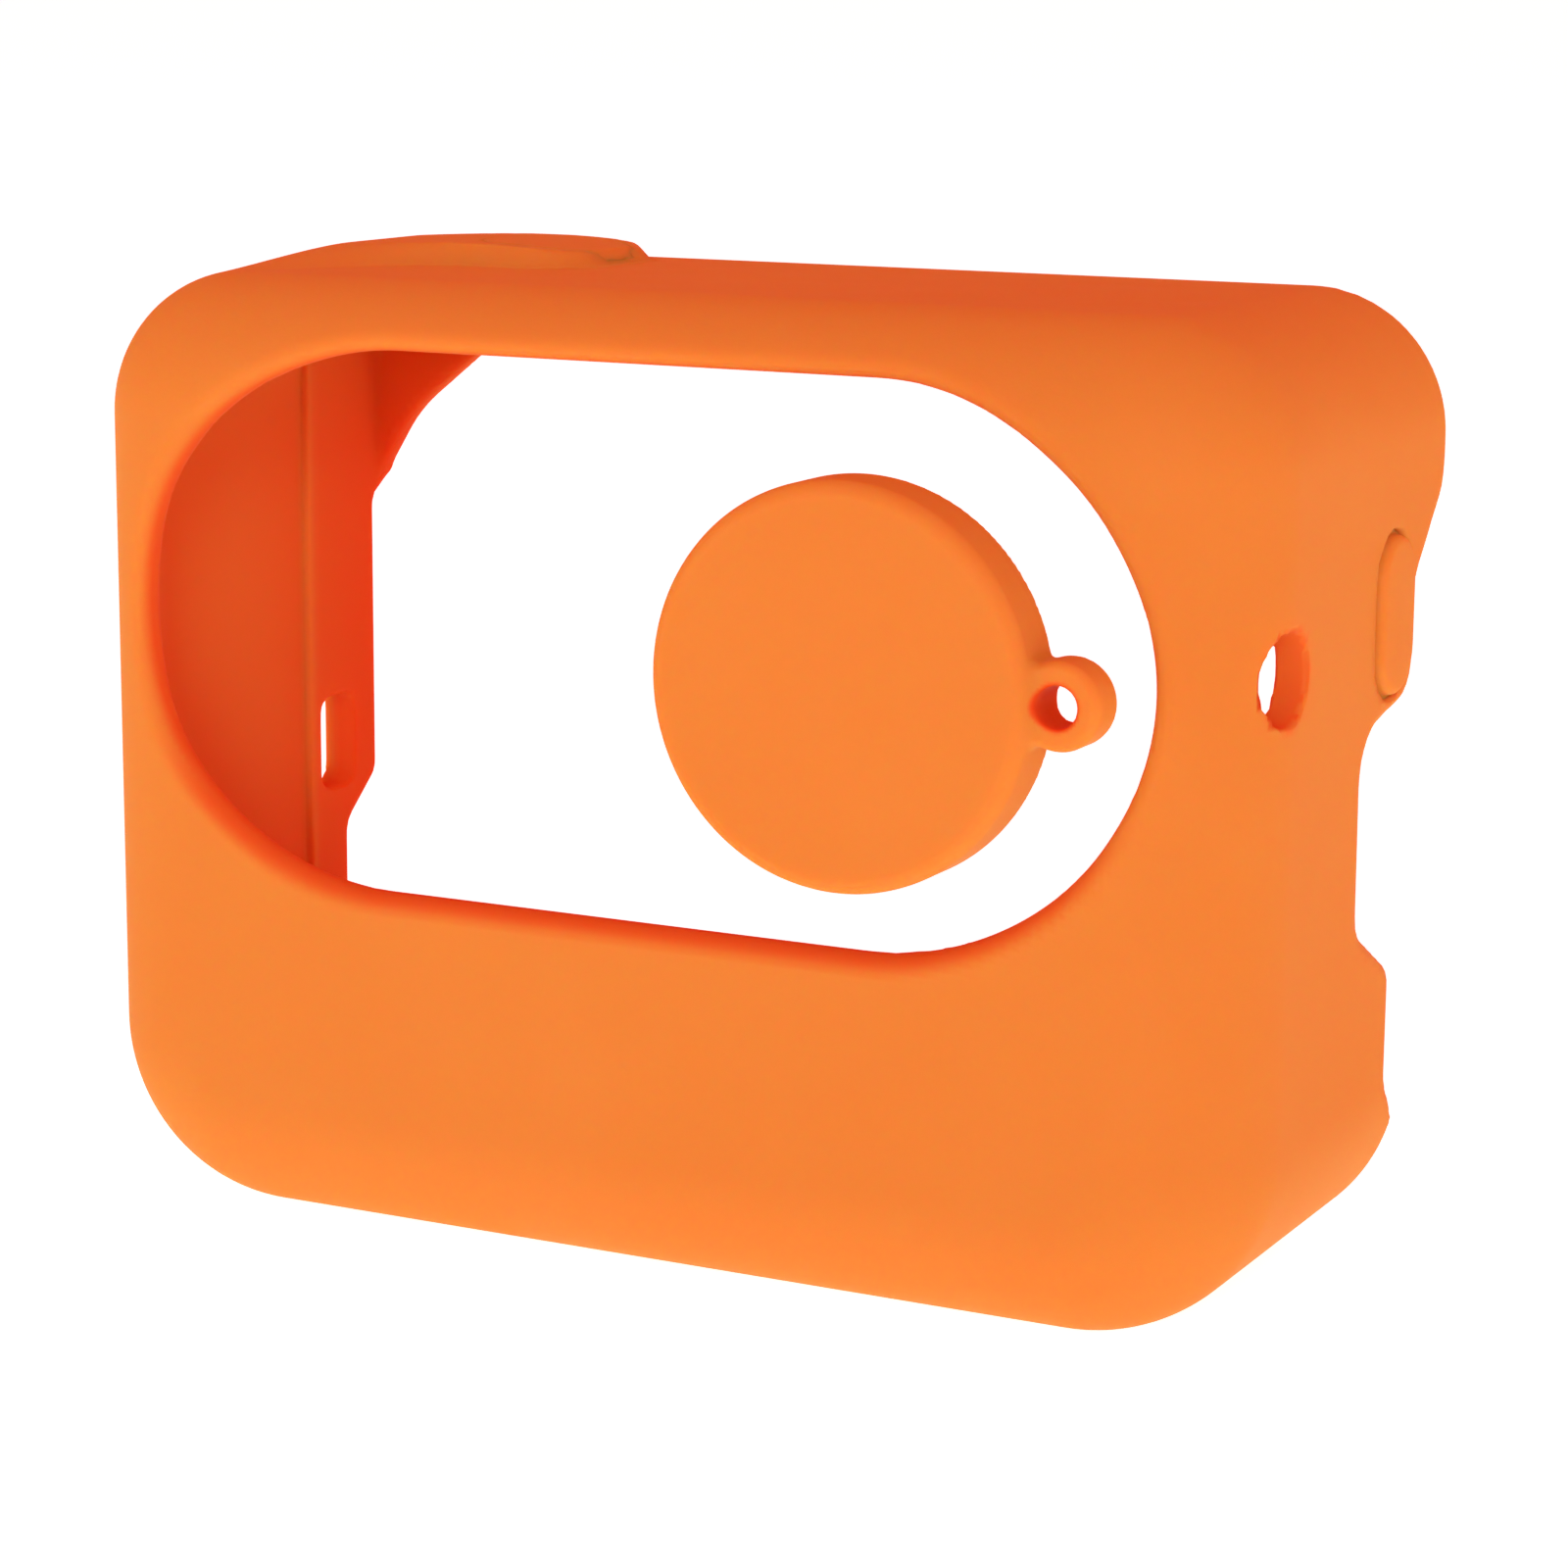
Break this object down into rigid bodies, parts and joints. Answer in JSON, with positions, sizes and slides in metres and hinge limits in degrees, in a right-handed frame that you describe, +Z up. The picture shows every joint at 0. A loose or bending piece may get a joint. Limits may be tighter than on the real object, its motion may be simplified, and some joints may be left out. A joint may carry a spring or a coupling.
{
  "type": "action camera sleeve with lens cap",
  "caption": "Soft silicone protective sleeve for a box-shaped action camera, open at the back, with a pill-shaped front window and a round lens cap with a lanyard eyelet.",
  "frame": {"origin": "bottom centre of the whole part's box: on the surface that the sleeve stands on, half way between the cap's face and the sleeve's rear edge", "axes": "+X to the viewer's right when looking at the lens cap, +Y towards the open back, +Z up"},
  "size_m": [0.0766, 0.0388, 0.0592],
  "materials": {
    "sleeve_silicone": "matte orange silicone with a soft sheen",
    "cap_silicone": "matte orange silicone with a soft sheen"
  },
  "bodies": {
    "sleeve_body": {"sleeve": "sleeve_silicone"},
    "shutter_pad_body": {"shutter_pad": "sleeve_silicone"},
    "side_button_pad_body": {"side_button_pad": "sleeve_silicone"},
    "lens_cap_body": {"lens_cap": "cap_silicone"}
  },
  "joints": [
    {"name": "cap_pull", "type": "slide", "parent": "sleeve_body", "child": "lens_cap_body", "axis": [0, -1, 0], "range_m": [0, 0.03]},
    {"name": "shutter_press", "type": "slide", "parent": "sleeve_body", "child": "shutter_pad_body", "axis": [0, 0, -1], "range_m": [0, 0.0006], "stiffness_N_per_m": 600},
    {"name": "side_button_press", "type": "slide", "parent": "sleeve_body", "child": "side_button_pad_body", "axis": [-1, 0, 0], "range_m": [0, 0.0005], "stiffness_N_per_m": 600}
  ]
}
